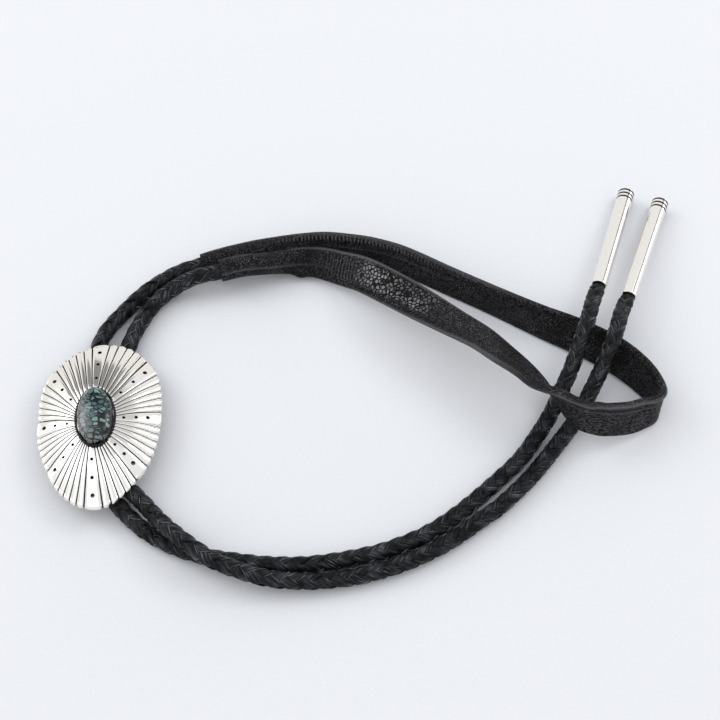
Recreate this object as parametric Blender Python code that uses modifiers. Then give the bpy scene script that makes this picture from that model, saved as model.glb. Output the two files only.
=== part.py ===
# A bolo tie as it lies on a table: an oval silver concho with a turquoise stone on its clasp,
# two braided leather cords with silver tips, and a folded leather neck strap.
# Metres, +Z up. The table's top is z = 0, and the origin is under the middle of the tie.
from math import asin, cos, pi, radians, sin

import bmesh
import bpy
import numpy as np
from mathutils import Euler, Vector

MM = 0.001

# Fits
FIT_GAP = 0.3 * MM                # left between two pieces that touch

# Cords
CORD_DIAMETER = 5.5 * MM
CORD_POINTS = 40                  # points along each cord's tube
CLASP_LEFT_X = -91.2              # where the cords run through the clasp, in mm
CLASP_RIGHT_X = -83.3
CLASP_CORD_Z = 3.9

# Neck strap
STRAP_WIDTH = 12.4 * MM           # across the flat band
STRAP_THICKNESS = 2.2 * MM        # two leathers folded together
STRAP_REACH = 153.0 * MM          # from the sleeve's mouth to the far turn, along X
STRAP_SPREAD = 67.0 * MM          # from the sleeve's mouth to the nearest edge, along -Y
STRAP_LIFT = 14.4 * MM            # how high the twisted front run is pushed up
STRAP_BEAD = 0.25                 # how much thicker the rolled edge is
STRAP_SQUARENESS = 5.0            # exponent of the band's section, 2 is an ellipse
SLEEVE_WALL = 1.0 * MM
SLEEVE_CORD_POINTS = 3            # route points of a cord that lie in its sleeve
STRAP_RINGS = 66
STRAP_SIDES = 16

# Concho
CONCHO_HALF_WIDTH = 20.2 * MM
CONCHO_HALF_LENGTH = 30.6 * MM
CONCHO_Y = -34.5 * MM
CONCHO_THICKNESS = 1.3 * MM
CONCHO_RISE = 4.3 * MM            # from the rim up to the bezel's foot
CONCHO_CORD_CLEARANCE = 0.5 * MM  # between the cords in the clasp and the rim
DOME_POWER = 1.6
FLUTE_DEPTH_FOOT = 0.25 * MM      # groove depth between flutes, at the bezel and at the rim
FLUTE_DEPTH_RIM = 0.7 * MM
RIM_NOTCH = 0.6 * MM              # how far a groove cuts into the outline
RIM_ROLL_IN = 0.9 * MM
RIM_ROLL_DOWN = 0.7 * MM
NARROW_FLUTES = 5                 # between two wide petals

# Bezel and stone
STONE_HALF_WIDTH = 5.65 * MM
STONE_HALF_LENGTH = 10.2 * MM
STONE_HEIGHT = 3.6 * MM
STONE_GIRDLE = 1.3 * MM
STONE_TILT = 5.0                  # degrees anticlockwise, seen from above
BEZEL_WALL = 0.5 * MM
BEZEL_HEIGHT = 1.4 * MM
BEZEL_OFFSET_X = -0.7 * MM
BEZEL_OFFSET_Y = -0.1 * MM

# Clasp
CLASP_LENGTH = 15.0 * MM
CLASP_Y = -33.1 * MM
CLASP_WALL = 1.0 * MM
CLASP_EDGE = 0.5 * MM
CLASP_BOSS_RADIUS = 5.0 * MM

# Tips
TIP_LENGTH = 48.3 * MM
TIP_MOUTH_DIAMETER = 5.3 * MM
TIP_END_DIAMETER = 5.9 * MM
TIP_WALL = 0.5 * MM
TIP_GROOVES = 3
TIP_GROOVE_PITCH = 1.3 * MM
TIP_GROOVE_DEPTH = 0.25 * MM
TIP_GROOVE_HALF_WIDTH = 0.3 * MM
TIP_CORNER = 0.5 * MM
TIP_LEFT_HEADING = 17.6           # degrees from +Y towards +X
TIP_RIGHT_HEADING = 19.8

# Routes of the cords' centre lines, in mm. Each starts inside its sleeve and ends at its tip.
# The left cord leaves the back sleeve, runs through the clasp's left channel and under the other.
CORD_LEFT_ROUTE = (
    (-47.7, 35.6, 4.4), (-52.6, 34.0, 4.3), (-57.4, 32.2, 4.2), (-65.4, 29.7, 3.2),
    (-72.7, 24.8, 3.0), (-78.1, 19.7, 3.0), (-84.3, 11.5, 3.3), (-88.7, 4.6, 3.6),
    (-90.8, -2.1, 3.9), (CLASP_LEFT_X, -15.1, CLASP_CORD_Z), (CLASP_LEFT_X, -28.1, CLASP_CORD_Z),
    (CLASP_LEFT_X, -41.1, CLASP_CORD_Z), (-88.3, -50.6, 3.8), (-82.3, -58.3, 3.4),
    (-76.4, -65.0, 3.1), (-69.5, -71.0, 3.0), (-60.6, -76.0, 3.0), (-51.1, -79.2, 3.0),
    (-43.2, -80.6, 3.0), (-32.0, -82.0, 3.0), (-17.8, -81.9, 3.0), (1.1, -78.4, 3.0),
    (12.4, -74.3, 3.0), (21.3, -69.6, 3.0), (31.2, -62.0, 3.0), (43.0, -51.0, 3.0),
    (49.2, -44.5, 3.0), (55.5, -35.4, 3.1), (60.2, -27.8, 4.2), (63.6, -21.0, 6.5),
    (66.9, -14.5, 9.5), (69.9, -7.2, 12.2), (73.3, 2.4, 13.4), (76.4, 12.8, 11.1),
    (78.7, 18.7, 10.0))
# The right cord leaves the front sleeve, runs through the right channel and over the other.
CORD_RIGHT_ROUTE = (
    (-41.7, 29.1, 8.0), (-46.3, 28.0, 8.1), (-50.9, 26.6, 8.0), (-59.3, 25.0, 6.8),
    (-66.1, 22.2, 5.0), (-72.9, 16.2, 3.9), (-77.0, 9.1, 3.5), (-79.9, 1.6, 3.7),
    (-81.6, -6.1, 3.9), (-83.1, -16.1, CLASP_CORD_Z), (CLASP_RIGHT_X, -28.1, CLASP_CORD_Z),
    (CLASP_RIGHT_X, -41.1, CLASP_CORD_Z), (-81.7, -49.1, 3.9), (-77.3, -54.9, 4.0),
    (-71.5, -61.7, 5.4), (-64.3, -70.4, 8.1), (-55.1, -78.5, 9.2), (-48.4, -82.8, 8.5),
    (-43.3, -84.7, 7.4), (-31.7, -87.6, 5.4), (-19.4, -88.0, 3.9), (-7.0, -86.6, 3.1),
    (0.4, -85.0, 3.0), (11.8, -81.1, 3.0), (24.3, -74.6, 3.0), (38.1, -64.5, 3.0),
    (41.4, -62.1, 3.0), (52.4, -50.9, 3.0), (62.2, -38.3, 3.1), (67.1, -31.7, 3.8),
    (71.6, -24.2, 5.5), (77.0, -14.2, 8.9), (80.5, -6.7, 11.7), (83.2, 0.3, 12.9),
    (85.8, 8.6, 10.0), (88.7, 15.0, 8.9))

# The strap's centre line, from the back sleeve round to the front one. along and across are
# shares of STRAP_REACH and STRAP_SPREAD from the back sleeve's mouth, lift is the share of
# STRAP_LIFT that the lower edge stands above the table, turn is the band's slope in degrees
# (0 flat, 90 on edge), and flat is 0 where the strap is a round sleeve and 1 on the band.
STRAP_ROWS = (
    # along, across, lift, turn, flat
    (0.137, -0.099, 0.02, 64, 0.0),
    (0.182, -0.103, 0.01, 64, 0.35),
    (0.226, -0.094, 0.0, 64, 0.8),
    (0.280, -0.093, 0.0, 67, 1.0),
    (0.334, -0.081, 0.0, 69, 1.0),
    (0.388, -0.058, 0.0, 70, 1.0),
    (0.454, -0.007, 0.0, 74, 1.0),
    (0.560, 0.125, 0.0, 76, 1.0),
    (0.658, 0.247, 0.0, 74, 1.0),
    (0.762, 0.374, 0.0, 63, 1.0),
    (0.829, 0.443, 0.0, 50, 1.0),
    (0.886, 0.515, 0.0, 45, 1.0),
    (0.924, 0.578, 0.0, 47, 1.0),
    (0.961, 0.667, 0.0, 57, 1.0),
    (0.986, 0.751, 0.0, 68, 1.0),
    (1.001, 0.842, 0.02, 84, 1.0),
    (0.990, 0.897, 0.05, 100, 1.0),
    (0.961, 0.931, 0.10, 112, 1.0),
    (0.925, 0.969, 0.22, 115, 1.0),
    (0.876, 0.998, 0.39, 115, 1.0),
    (0.853, 1.001, 0.48, 113, 1.0),
    (0.829, 0.998, 0.56, 105, 1.0),
    (0.803, 0.964, 0.61, 94, 1.0),
    (0.779, 0.916, 0.67, 78, 1.0),
    (0.756, 0.875, 0.72, 60, 1.0),
    (0.734, 0.830, 0.79, 45, 1.0),
    (0.705, 0.760, 0.86, 38, 1.0),
    (0.663, 0.669, 0.90, 28, 1.0),
    (0.616, 0.571, 0.95, 19, 1.0),
    (0.556, 0.476, 1.0, 9, 1.0),
    (0.490, 0.360, 0.93, -7, 1.0),
    (0.424, 0.240, 0.69, -25, 1.0),
    (0.366, 0.127, 0.40, -38, 1.0),
    (0.320, 0.060, 0.18, -45, 0.95),
    (0.270, 0.006, 0.07, -48, 0.8),
    (0.226, -0.007, 0.10, -48, 0.5),
    (0.182, 0.006, 0.17, -48, 0.15),
    (0.148, 0.022, 0.22, -48, 0.0))

# The wide petals. Angles are degrees anticlockwise from +X, from one side of the petal to the
# other, at the rim and at the bezel. reach is a share of the oval's radius there, and holes
# stretches the petal's row of holes towards the rim.
PETALS = (
    # rim from, rim to, reach from, reach to, foot from, foot to, holes
    (-2.4, 14.1, 0.985, 1.0, -11.0, 5.0, 0.89),
    (47.6, 60.6, 1.075, 1.06, 45.5, 58.5, 1.0),
    (88.3, 99.5, 1.01, 1.01, 90.0, 100.0, 1.0),
    (127.7, 141.6, 1.072, 1.09, 141.5, 156.5, 1.0),
    (177.0, 195.5, 1.0, 1.0, 191.5, 208.5, 1.0),
    (228.6, 240.6, 0.955, 0.975, 231.5, 244.5, 1.0),
    (265.5, 277.1, 1.0, 1.01, 264.0, 274.0, 1.0),
    (303.4, 317.4, 0.955, 0.975, 295.5, 308.5, 0.91))

# Holes along the middle of each wide petal.
PETAL_HOLES = (
    # share of the way from bezel to rim, share of the concho's half width across
    (0.80, 0.064),
    (0.52, 0.050),
    (0.22, 0.040))

# Rings of the fluted face, as shares of the way from the bezel's foot to the rolled rim.
FACE_RINGS = (0.12, 0.32, 0.54, 0.76)
BACK_RINGS = (0.55, 0.0)

COLOURS = {
    # base colour, roughness, metallic
    "silver": ((0.86, 0.85, 0.83, 1.0), 0.18, 1.0),
    "turquoise": ((0.10, 0.22, 0.24, 1.0), 0.22, 0.0),
    "cord leather": ((0.022, 0.022, 0.024, 1.0), 0.45, 0.0),
    "strap leather": ((0.020, 0.020, 0.022, 1.0), 0.38, 0.0)}


def mix(low, high, share):
    return low + (high - low) * share


def clear_scene():
    for old in list(bpy.data.objects):
        bpy.data.objects.remove(old, do_unlink=True)


def make_collection(name):
    collection = bpy.data.collections.new(name)
    bpy.context.scene.collection.children.link(collection)
    return collection


def make_material(name):
    colour, roughness, metallic = COLOURS[name]
    material = bpy.data.materials.new(name)
    material.use_nodes = True
    shader = material.node_tree.nodes["Principled BSDF"]
    shader.inputs["Base Color"].default_value = colour
    shader.inputs["Roughness"].default_value = roughness
    shader.inputs["Metallic"].default_value = metallic
    return material


def make_object(name, data, collection, finish=None):
    """Links a mesh or curve as an object, with a material of its own if it has a finish."""
    piece = bpy.data.objects.new(name, data)
    collection.objects.link(piece)
    if finish:
        data.materials.append(make_material(finish))
    return piece


def mesh_from(bm, name, sharp_angle=None):
    mesh = bpy.data.meshes.new(name)
    bm.to_mesh(mesh)
    bm.free()
    if sharp_angle is not None:
        mesh.shade_smooth()
        mesh.set_sharp_from_angle(angle=radians(sharp_angle))
    return mesh


def make_cutter(name, bm, collection):
    cutter = make_object(name, mesh_from(bm, name), collection)
    cutter.hide_render = True
    cutter.display_type = "WIRE"
    return cutter


def add_boolean(piece, tool, operation):
    boolean = piece.modifiers.new(tool.name, "BOOLEAN")
    boolean.operation = operation
    boolean.object = tool
    boolean.solver = "EXACT"


def smooth_curve(points):
    """A smooth curve through rows of numbers, the first three of them a place.

    Returns a function from the distance along the curve to a row, and the whole distance.
    """
    rows = np.array(points, dtype=float)
    steps = np.linalg.norm(np.diff(rows[:, :3], axis=0), axis=1)
    reached = np.concatenate(([0.0], np.cumsum(steps)))
    slopes = np.empty_like(rows)
    slopes[1:-1] = (rows[2:] - rows[:-2]) / (reached[2:] - reached[:-2])[:, None]
    slopes[0] = (rows[1] - rows[0]) / steps[0]
    slopes[-1] = (rows[-1] - rows[-2]) / steps[-1]

    def at(distance):
        place = int(np.searchsorted(reached, distance)) - 1
        place = min(max(place, 0), len(steps) - 1)
        step = steps[place]
        k = (distance - reached[place]) / step
        from_start = (2 * k**3 - 3 * k**2 + 1) * rows[place]
        start_slope = (k**3 - 2 * k**2 + k) * step * slopes[place]
        from_end = (3 * k**2 - 2 * k**3) * rows[place + 1]
        end_slope = (k**3 - k**2) * step * slopes[place + 1]
        return from_start + start_slope + from_end + end_slope

    return at, reached[-1]


def metres(route):
    return [tuple(value * MM for value in point) for point in route]


def loft(rings, close_start=True, close_end=True):
    """A closed skin over rings of points that all have the same count."""
    bm = bmesh.new()
    loops = [[bm.verts.new(point) for point in ring] for ring in rings]
    count = len(loops[0])
    for near, far in zip(loops, loops[1:]):
        for side in range(count):
            after = (side + 1) % count
            bm.faces.new((near[side], near[after], far[after], far[side]))
    for loop, wanted in ((loops[0], close_start), (loops[-1], close_end)):
        if wanted:
            middle = bm.verts.new(sum((v.co for v in loop), Vector()) / count)
            for side in range(count):
                bm.faces.new((loop[side], loop[(side + 1) % count], middle))
    bmesh.ops.recalc_face_normals(bm, faces=bm.faces)
    return bm


def turned(name, profile, steps, collection, finish):
    """A solid turned about its own Z from a profile of (radius, height), top to bottom."""
    bm = bmesh.new()
    corners = [bm.verts.new((radius, 0.0, height)) for radius, height in profile]
    for upper, lower in zip(corners, corners[1:]):
        bm.edges.new((upper, lower))
    piece = make_object(name, mesh_from(bm, name), collection, finish)
    screw = piece.modifiers.new("turn", "SCREW")
    screw.steps = steps
    screw.render_steps = steps
    screw.use_merge_vertices = True
    screw.merge_threshold = 0.01 * MM
    screw.use_smooth_shade = True
    return piece


# Cords

def build_cord(name, route, collection):
    at, length = smooth_curve(metres(route))
    curve = bpy.data.curves.new(name, "CURVE")
    curve.dimensions = "3D"
    curve.bevel_depth = CORD_DIAMETER / 2
    curve.bevel_resolution = 2
    curve.use_fill_caps = True
    spline = curve.splines.new("POLY")
    spline.points.add(CORD_POINTS - 1)
    for index, point in enumerate(spline.points):
        point.co = (*at(length * index / (CORD_POINTS - 1)), 1.0)
    return make_object(name, curve, collection, "cord leather")


# Neck strap

def strap_section(flat):
    """Half outlines of the strap, (across, through), from round at 0 to a flat band at 1."""
    sleeve = CORD_DIAMETER / 2 + FIT_GAP + SLEEVE_WALL
    half_width = mix(sleeve, STRAP_WIDTH / 2, flat)
    half_thick = mix(sleeve, STRAP_THICKNESS / 2, flat)
    power = 2 / mix(2.0, STRAP_SQUARENESS, flat)
    points = []
    for side in range(STRAP_SIDES):
        angle = 2 * pi * side / STRAP_SIDES
        x, y = cos(angle), sin(angle)
        across = half_width * np.sign(x) * abs(x) ** power
        bead = min(max((across / half_width - 0.5) / 0.4, 0.0), 1.0) * STRAP_BEAD * flat
        points.append((across, half_thick * np.sign(y) * abs(y) ** power * (1 + bead)))
    return np.array(points)


def strap_line():
    """The strap's centre line: its sleeves lie on the cords, and the rows run between them."""
    back = metres(CORD_LEFT_ROUTE[:SLEEVE_CORD_POINTS])[::-1]
    front = metres(CORD_RIGHT_ROUTE[:SLEEVE_CORD_POINTS])
    mouth = back[0]
    rows = [(*point, STRAP_ROWS[0][3], 0.0) for point in back]
    for along, across, lift, turn, flat in STRAP_ROWS:
        section = strap_section(flat)
        slope = radians(turn)
        lowest = (section[:, 0] * sin(slope) + section[:, 1] * cos(slope)).min()
        rows.append((mouth[0] + along * STRAP_REACH, mouth[1] - across * STRAP_SPREAD,
                     lift * STRAP_LIFT - lowest, turn, flat))
    rows += [(*point, STRAP_ROWS[-1][3], 0.0) for point in front]
    return smooth_curve(rows)


def strap_ring(at, distance, section=None):
    """The section, placed square to the strap's centre line at a distance along it."""
    row = at(distance)
    tangent = Vector(at(distance + MM)[:3] - at(distance - MM)[:3]).normalized()
    level = Vector((-tangent.y, tangent.x, 0.0)).normalized()
    upward = tangent.cross(level)
    if upward.z < 0:
        upward.negate()
    slope = radians(row[3])
    across = level * cos(slope) + upward * sin(slope)
    through = upward * cos(slope) - level * sin(slope)
    if section is None:
        section = strap_section(min(max(row[4], 0.0), 1.0))
    return [Vector(row[:3]) + across * x + through * y for x, y in section]


def build_strap(collection):
    at, length = strap_line()
    bore = CORD_DIAMETER / 2 + FIT_GAP
    turns = [2 * pi * side / STRAP_SIDES for side in range(STRAP_SIDES)]
    hole = [(bore * cos(turn), bore * sin(turn)) for turn in turns]
    depths = []
    for route in (CORD_LEFT_ROUTE, CORD_RIGHT_ROUTE):
        in_sleeve = smooth_curve(metres(route[:SLEEVE_CORD_POINTS]))[1]
        depths.append(in_sleeve + FIT_GAP)
    rings = [strap_ring(at, depths[0] * share, hole) for share in (1.0, 0.5, 0.0)]
    for index in range(STRAP_RINGS):
        rings.append(strap_ring(at, length * index / (STRAP_RINGS - 1)))
    rings += [strap_ring(at, length - depths[1] * share, hole) for share in (0.0, 0.5, 1.0)]
    mesh = mesh_from(loft(rings), "neck_strap", 40)
    return make_object("neck_strap", mesh, collection, "strap leather")


# Concho

def rim_underside():
    return CLASP_CORD_Z * MM + CORD_DIAMETER / 2 + CONCHO_CORD_CLEARANCE


def bezel_foot_z():
    return rim_underside() + CONCHO_THICKNESS + CONCHO_RISE


def concho_middle():
    return Vector(((CLASP_LEFT_X + CLASP_RIGHT_X) / 2 * MM, CONCHO_Y, 0.0))


def bezel_middle():
    return concho_middle() + Vector((BEZEL_OFFSET_X, BEZEL_OFFSET_Y, 0.0))


def oval_point(angle, half_width, half_length):
    """A point of an oval in the direction of an angle in degrees."""
    x, y = cos(radians(angle)), sin(radians(angle))
    radius = 1 / np.hypot(x / half_width, y / half_length)
    return Vector((radius * x, radius * y, 0.0))


def bezel_point(angle, grow):
    """A point of the stone's oval, grown by a distance, in the direction of an angle."""
    point = oval_point(angle - STONE_TILT, STONE_HALF_WIDTH + grow, STONE_HALF_LENGTH + grow)
    point.rotate(Euler((0.0, 0.0, radians(STONE_TILT))))
    return bezel_middle() + point


def flutes():
    """Each flute once round the rim: its edges, how many faces cross it, and its roundness."""
    found = []
    for index, (rim_a, rim_b, reach_a, reach_b, foot_a, foot_b, holes) in enumerate(PETALS):
        found.append(((rim_a, reach_a, foot_a), (rim_b, reach_b, foot_b), 4, 5.0))
        following = PETALS[(index + 1) % len(PETALS)]
        whole_turn = 360.0 if index == len(PETALS) - 1 else 0.0
        start = np.array((rim_b, reach_b, foot_b))
        end = np.array((following[0] + whole_turn, following[2], following[4] + whole_turn))
        for narrow in range(NARROW_FLUTES):
            found.append((mix(start, end, narrow / NARROW_FLUTES),
                          mix(start, end, (narrow + 1) / NARROW_FLUTES), 3, 2.0))
    return found


def rays():
    """The lines from bezel to rim that the face is made of, with how high each lies."""
    lines = []
    for start, end, segments, power in flutes():
        for segment in range(segments):
            share = segment / segments
            angle, reach, foot_angle = mix(np.array(start), np.array(end), share)
            height = 1 - abs(2 * share - 1) ** power
            rim = oval_point(angle, CONCHO_HALF_WIDTH, CONCHO_HALF_LENGTH) * reach
            rim -= rim.normalized() * RIM_NOTCH * (1 - height)
            lines.append((foot_angle, concho_middle() + rim, height))
    return lines


def face_point(line, share, inset=0.0):
    """A point of the fluted face, at a share of the way to the rim less an inset."""
    foot_angle, rim, height = line
    foot = bezel_point(foot_angle, FIT_GAP + BEZEL_WALL)
    inner = rim + (foot - rim).normalized() * inset
    point = foot.lerp(inner, share)
    rise = CONCHO_RISE * (1 - share ** DOME_POWER)
    groove = mix(FLUTE_DEPTH_FOOT, FLUTE_DEPTH_RIM, share) * (1 - height)
    point.z = rim_underside() + CONCHO_THICKNESS + rise - groove
    return point


def at_height(point, z):
    return Vector((point.x, point.y, z))


def concho_rings():
    lines = rays()
    floor = bezel_foot_z()
    rim_low = rim_underside()
    inner, outer = FIT_GAP, FIT_GAP + BEZEL_WALL
    rings = [
        [at_height(bezel_point(line[0], inner), floor) for line in lines],
        [at_height(bezel_point(line[0], inner), floor + BEZEL_HEIGHT) for line in lines],
        [at_height(bezel_point(line[0], outer), floor + BEZEL_HEIGHT) for line in lines]]
    for share in (0.0, *FACE_RINGS, 1.0):
        rings.append([face_point(line, share, RIM_ROLL_IN) for line in lines])
    edge = []
    for line in lines:
        groove = FLUTE_DEPTH_RIM * (1 - line[2]) / 2
        edge.append(at_height(line[1], rim_low + CONCHO_THICKNESS - RIM_ROLL_DOWN - groove))
    rings.append(edge)
    rings.append([at_height(line[1], rim_low) for line in lines])
    under = [face_point(line, 1.0, RIM_ROLL_IN + CONCHO_THICKNESS) for line in lines]
    rings.append([at_height(point, rim_low) for point in under])
    for share in BACK_RINGS:
        back_z = rim_low + CONCHO_RISE * (1 - share ** DOME_POWER)
        rings.append([at_height(face_point(line, share, RIM_ROLL_IN), back_z) for line in lines])
    return rings


def petal_hole_cutters():
    """Upright drills along the middle of each wide petal."""
    bm = bmesh.new()
    wide = flutes()[::NARROW_FLUTES + 1]
    for (start, end, segments, power), petal in zip(wide, PETALS):
        angle, reach, foot_angle = mix(np.array(start), np.array(end), 0.5)
        rim = oval_point(angle, CONCHO_HALF_WIDTH, CONCHO_HALF_LENGTH) * reach
        line = (foot_angle, concho_middle() + rim, 1.0)
        for share, width in PETAL_HOLES:
            made = bmesh.ops.create_cone(
                bm, cap_ends=True, segments=8, radius1=width * CONCHO_HALF_WIDTH / 2,
                radius2=width * CONCHO_HALF_WIDTH / 2, depth=4 * CONCHO_THICKNESS)
            bmesh.ops.translate(bm, verts=made["verts"], vec=face_point(line, share * petal[-1]))
    return bm


def build_concho(collection, cutters):
    mesh = mesh_from(loft(concho_rings()), "concho", 50)
    concho = make_object("concho", mesh, collection, "silver")
    drills = make_cutter("petal_drills", petal_hole_cutters(), cutters)
    add_boolean(concho, drills, "DIFFERENCE")
    return concho


def build_stone(collection):
    """A cabochon turned round, then stretched to its oval."""
    dome = STONE_HEIGHT - STONE_GIRDLE
    profile = []
    for step in range(7):
        angle = pi / 2 * (1 - step / 6)
        profile.append((STONE_HALF_WIDTH * cos(angle), STONE_GIRDLE + dome * sin(angle)))
    profile += [(STONE_HALF_WIDTH, 0.0), (0.0, 0.0)]
    stone = turned("stone", profile, 28, collection, "turquoise")
    stone.scale = (1.0, STONE_HALF_LENGTH / STONE_HALF_WIDTH, 1.0)
    stone.rotation_euler = (0.0, 0.0, radians(STONE_TILT))
    stone.location = at_height(bezel_middle(), bezel_foot_z() + FIT_GAP)
    return stone


# Clasp

def build_clasp(collection, cutters):
    """One plain block with a channel for each cord and a boss up to the concho's back."""
    channel = CORD_DIAMETER / 2 + FIT_GAP
    middle = at_height(concho_middle(), CLASP_CORD_Z * MM)
    middle.y = CLASP_Y
    span = (CLASP_RIGHT_X - CLASP_LEFT_X) * MM
    width = span + 2 * (channel + CLASP_WALL)
    top = CLASP_CORD_Z * MM + channel + CLASP_WALL
    bm = bmesh.new()
    bmesh.ops.create_cube(bm, size=1.0)
    bmesh.ops.scale(bm, verts=bm.verts, vec=(width, CLASP_LENGTH, top))
    clasp = make_object("back_clasp", mesh_from(bm, "back_clasp"), collection, "silver")
    clasp.location = (middle.x, middle.y, top / 2)
    bevel = clasp.modifiers.new("edges", "BEVEL")
    bevel.width = CLASP_EDGE
    bevel.segments = 2
    for side, x in (("left", CLASP_LEFT_X), ("right", CLASP_RIGHT_X)):
        bm = bmesh.new()
        bmesh.ops.create_cone(bm, cap_ends=True, segments=20, radius1=channel, radius2=channel,
                              depth=CLASP_LENGTH * 2)
        drill = make_cutter(side + "_channel", bm, cutters)
        drill.rotation_euler = (pi / 2, 0.0, 0.0)
        drill.location = (x * MM, middle.y, middle.z)
        add_boolean(clasp, drill, "DIFFERENCE")
    boss_top = bezel_foot_z() - CONCHO_THICKNESS - FIT_GAP
    boss_foot = top - CLASP_WALL / 2
    bm = bmesh.new()
    bmesh.ops.create_cone(bm, cap_ends=True, segments=24, radius1=CLASP_BOSS_RADIUS,
                          radius2=CLASP_BOSS_RADIUS, depth=boss_top - boss_foot)
    boss = make_cutter("clasp_boss", bm, cutters)
    boss.location = at_height(bezel_middle(), (boss_top + boss_foot) / 2)
    add_boolean(clasp, boss, "UNION")
    return clasp


# Tips

def tip_profile():
    """From the closed end down the outside to the mouth, and back up the bore."""
    end = TIP_END_DIAMETER / 2
    mouth = TIP_MOUTH_DIAMETER / 2

    def radius(height):
        return mix(mouth, end, height / TIP_LENGTH)

    profile = [(0.0, TIP_LENGTH), (end - TIP_CORNER, TIP_LENGTH)]
    profile.append((end - TIP_CORNER * (1 - sin(pi / 4)),
                    TIP_LENGTH - TIP_CORNER * (1 - cos(pi / 4))))
    profile.append((radius(TIP_LENGTH - TIP_CORNER), TIP_LENGTH - TIP_CORNER))
    for groove in range(TIP_GROOVES):
        bottom = TIP_LENGTH - TIP_GROOVE_PITCH * (groove + 1)
        profile.append((radius(bottom), bottom + TIP_GROOVE_HALF_WIDTH))
        profile.append((radius(bottom) - TIP_GROOVE_DEPTH, bottom))
        profile.append((radius(bottom), bottom - TIP_GROOVE_HALF_WIDTH))
    bore_end = TIP_LENGTH - TIP_GROOVE_PITCH * (TIP_GROOVES + 1)
    profile += [
        (mouth, 0.0), (mouth - TIP_WALL, 0.0),
        (radius(bore_end) - TIP_WALL, bore_end), (0.0, bore_end)]
    return profile


def build_tip(name, route, heading, collection):
    """A tip whose mouth meets its cord and whose closed end lies on the table."""
    tip = turned(name, tip_profile(), 16, collection, "silver")
    cord_end = Vector(metres(route)[-1])
    slope = asin((cord_end.z - TIP_END_DIAMETER / 2) / (TIP_LENGTH + FIT_GAP))
    direction = Vector((sin(radians(heading)) * cos(slope),
                        cos(radians(heading)) * cos(slope), -sin(slope)))
    tip.rotation_euler = Euler((pi / 2 + slope, 0.0, pi - radians(heading)))
    tip.location = cord_end + direction * FIT_GAP
    return tip


clear_scene()
tie = make_collection("bolo_tie")
tools = make_collection("cutters")
build_cord("cord_left", CORD_LEFT_ROUTE, tie)
build_cord("cord_right", CORD_RIGHT_ROUTE, tie)
build_strap(tie)
build_clasp(tie, tools)
build_concho(tie, tools)
build_stone(tie)
build_tip("tip_left", CORD_LEFT_ROUTE, TIP_LEFT_HEADING, tie)
build_tip("tip_right", CORD_RIGHT_ROUTE, TIP_RIGHT_HEADING, tie)
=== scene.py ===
from math import asin, atan, cos, pi, radians, sin

import bmesh
import bpy
import numpy as np
from mathutils import Euler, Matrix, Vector


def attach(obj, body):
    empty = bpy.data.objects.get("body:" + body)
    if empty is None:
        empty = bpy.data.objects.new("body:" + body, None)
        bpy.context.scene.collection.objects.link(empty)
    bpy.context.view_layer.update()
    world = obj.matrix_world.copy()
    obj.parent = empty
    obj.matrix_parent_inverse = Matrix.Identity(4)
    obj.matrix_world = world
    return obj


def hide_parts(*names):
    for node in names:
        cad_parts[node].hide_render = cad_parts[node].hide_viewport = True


mm = 0.001
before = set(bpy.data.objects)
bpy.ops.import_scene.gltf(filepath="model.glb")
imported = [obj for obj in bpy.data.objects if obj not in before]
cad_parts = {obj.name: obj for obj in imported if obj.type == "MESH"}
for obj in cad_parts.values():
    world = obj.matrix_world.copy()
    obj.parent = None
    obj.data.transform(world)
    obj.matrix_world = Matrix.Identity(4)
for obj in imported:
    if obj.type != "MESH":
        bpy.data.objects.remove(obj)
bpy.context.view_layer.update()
print("frame loaded")


# Helpers

def linearColour(code):                   # sRGB hex to linear
    parts = [int(code[i:i + 2], 16) / 255 for i in (1, 3, 5)]
    parts = [p / 12.92 if p <= 0.04045 else ((p + 0.055) / 1.055) ** 2.4 for p in parts]
    return (*parts, 1.0)


def mix(low, high, share):
    return low + (high - low) * share


def smoothStep(low, high, value):
    share = np.clip((value - low) / (high - low), 0.0, 1.0)
    return share * share * (3 - 2 * share)


# 1 at the middle, and fading to 0 about two half widths away
def hump(value, middle, halfWidth):
    return np.exp(-((value - middle) / halfWidth) ** 2)


def addNode(tree, kind, settings=None, links=None):
    node = tree.nodes.new("ShaderNode" + kind)
    for key, value in (settings or {}).items():
        if key == "stops":
            ramp = node.color_ramp
            while len(ramp.elements) < len(value):
                ramp.elements.new(0.5)
            for element, (place, colour) in zip(ramp.elements, value):
                element.position = place
                element.color = linearColour(colour) if isinstance(colour, str) else colour
        elif isinstance(key, str) and hasattr(node, key):
            setattr(node, key, value)
        else:
            liveSocket(node.inputs, key).default_value = value
    connect(tree, node, links or {})
    return node


# Each source is an output, or a node whose first live output is meant
def connect(tree, node, links):
    for key, source in links.items():
        if isinstance(source, bpy.types.Node):
            source = next(socket for socket in source.outputs if socket.enabled)
        tree.links.new(source, liveSocket(node.inputs, key))


# The Mix node has a socket of each name for every kind of data, and one kind is live
def liveSocket(sockets, key):
    if isinstance(key, int):
        return sockets[key]
    return next(socket for socket in sockets if socket.name == key and socket.enabled)


def newMaterial(name, settings):
    material = bpy.data.materials.new(name)
    material.use_nodes = True
    shader = material.node_tree.nodes["Principled BSDF"]
    for key, value in settings.items():
        if isinstance(value, str):
            value = linearColour(value)
        shader.inputs[key].default_value = value
    return material, material.node_tree, shader


def addPiece(name, bm, material, sharpAngle=None):
    mesh = bpy.data.meshes.new(name)
    bm.to_mesh(mesh)
    bm.free()
    mesh.materials.append(material)
    mesh.shade_smooth()
    if sharpAngle is not None:
        mesh.set_sharp_from_angle(angle=radians(sharpAngle))
    piece = bpy.data.objects.new(name, mesh)
    bpy.context.scene.collection.objects.link(piece)
    return piece


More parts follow.
